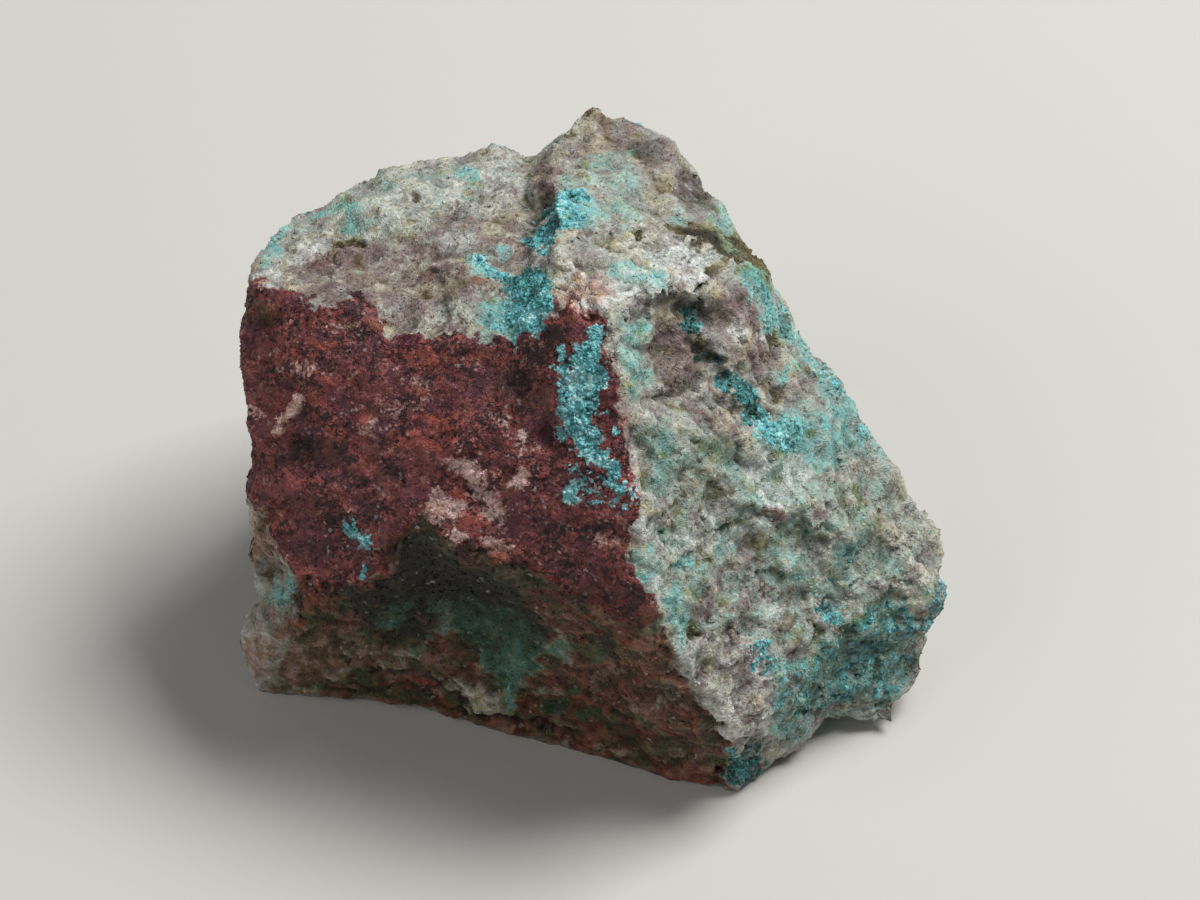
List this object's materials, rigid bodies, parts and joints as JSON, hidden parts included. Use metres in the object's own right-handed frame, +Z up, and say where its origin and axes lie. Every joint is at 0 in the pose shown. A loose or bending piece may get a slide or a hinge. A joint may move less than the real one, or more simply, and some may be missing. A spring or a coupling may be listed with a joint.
{
  "type": "ajoite cluster",
  "caption": "Broken chunk of grey quartz rock with a flat plum-red face, turquoise ajoite crusts in its hollows and a flat underside to rest on.",
  "frame": {"origin": "under the middle of the chunk's bounding box, on the flat face that it rests on", "axes": "+Z up; +X to the right of someone facing the red joint face, along the chunk's longest side; +Y away from them, toward the back"},
  "size_m": [0.0364, 0.0302, 0.0264],
  "materials": {
    "quartz_rock": "rough broken rock: grey to beige quartz with a plum-red iron-stained face",
    "ajoite_crust": "fine-grained turquoise crust"
  },
  "bodies": {
    "root": {"ajoite_rock": "quartz_rock"}
  },
  "joints": []
}
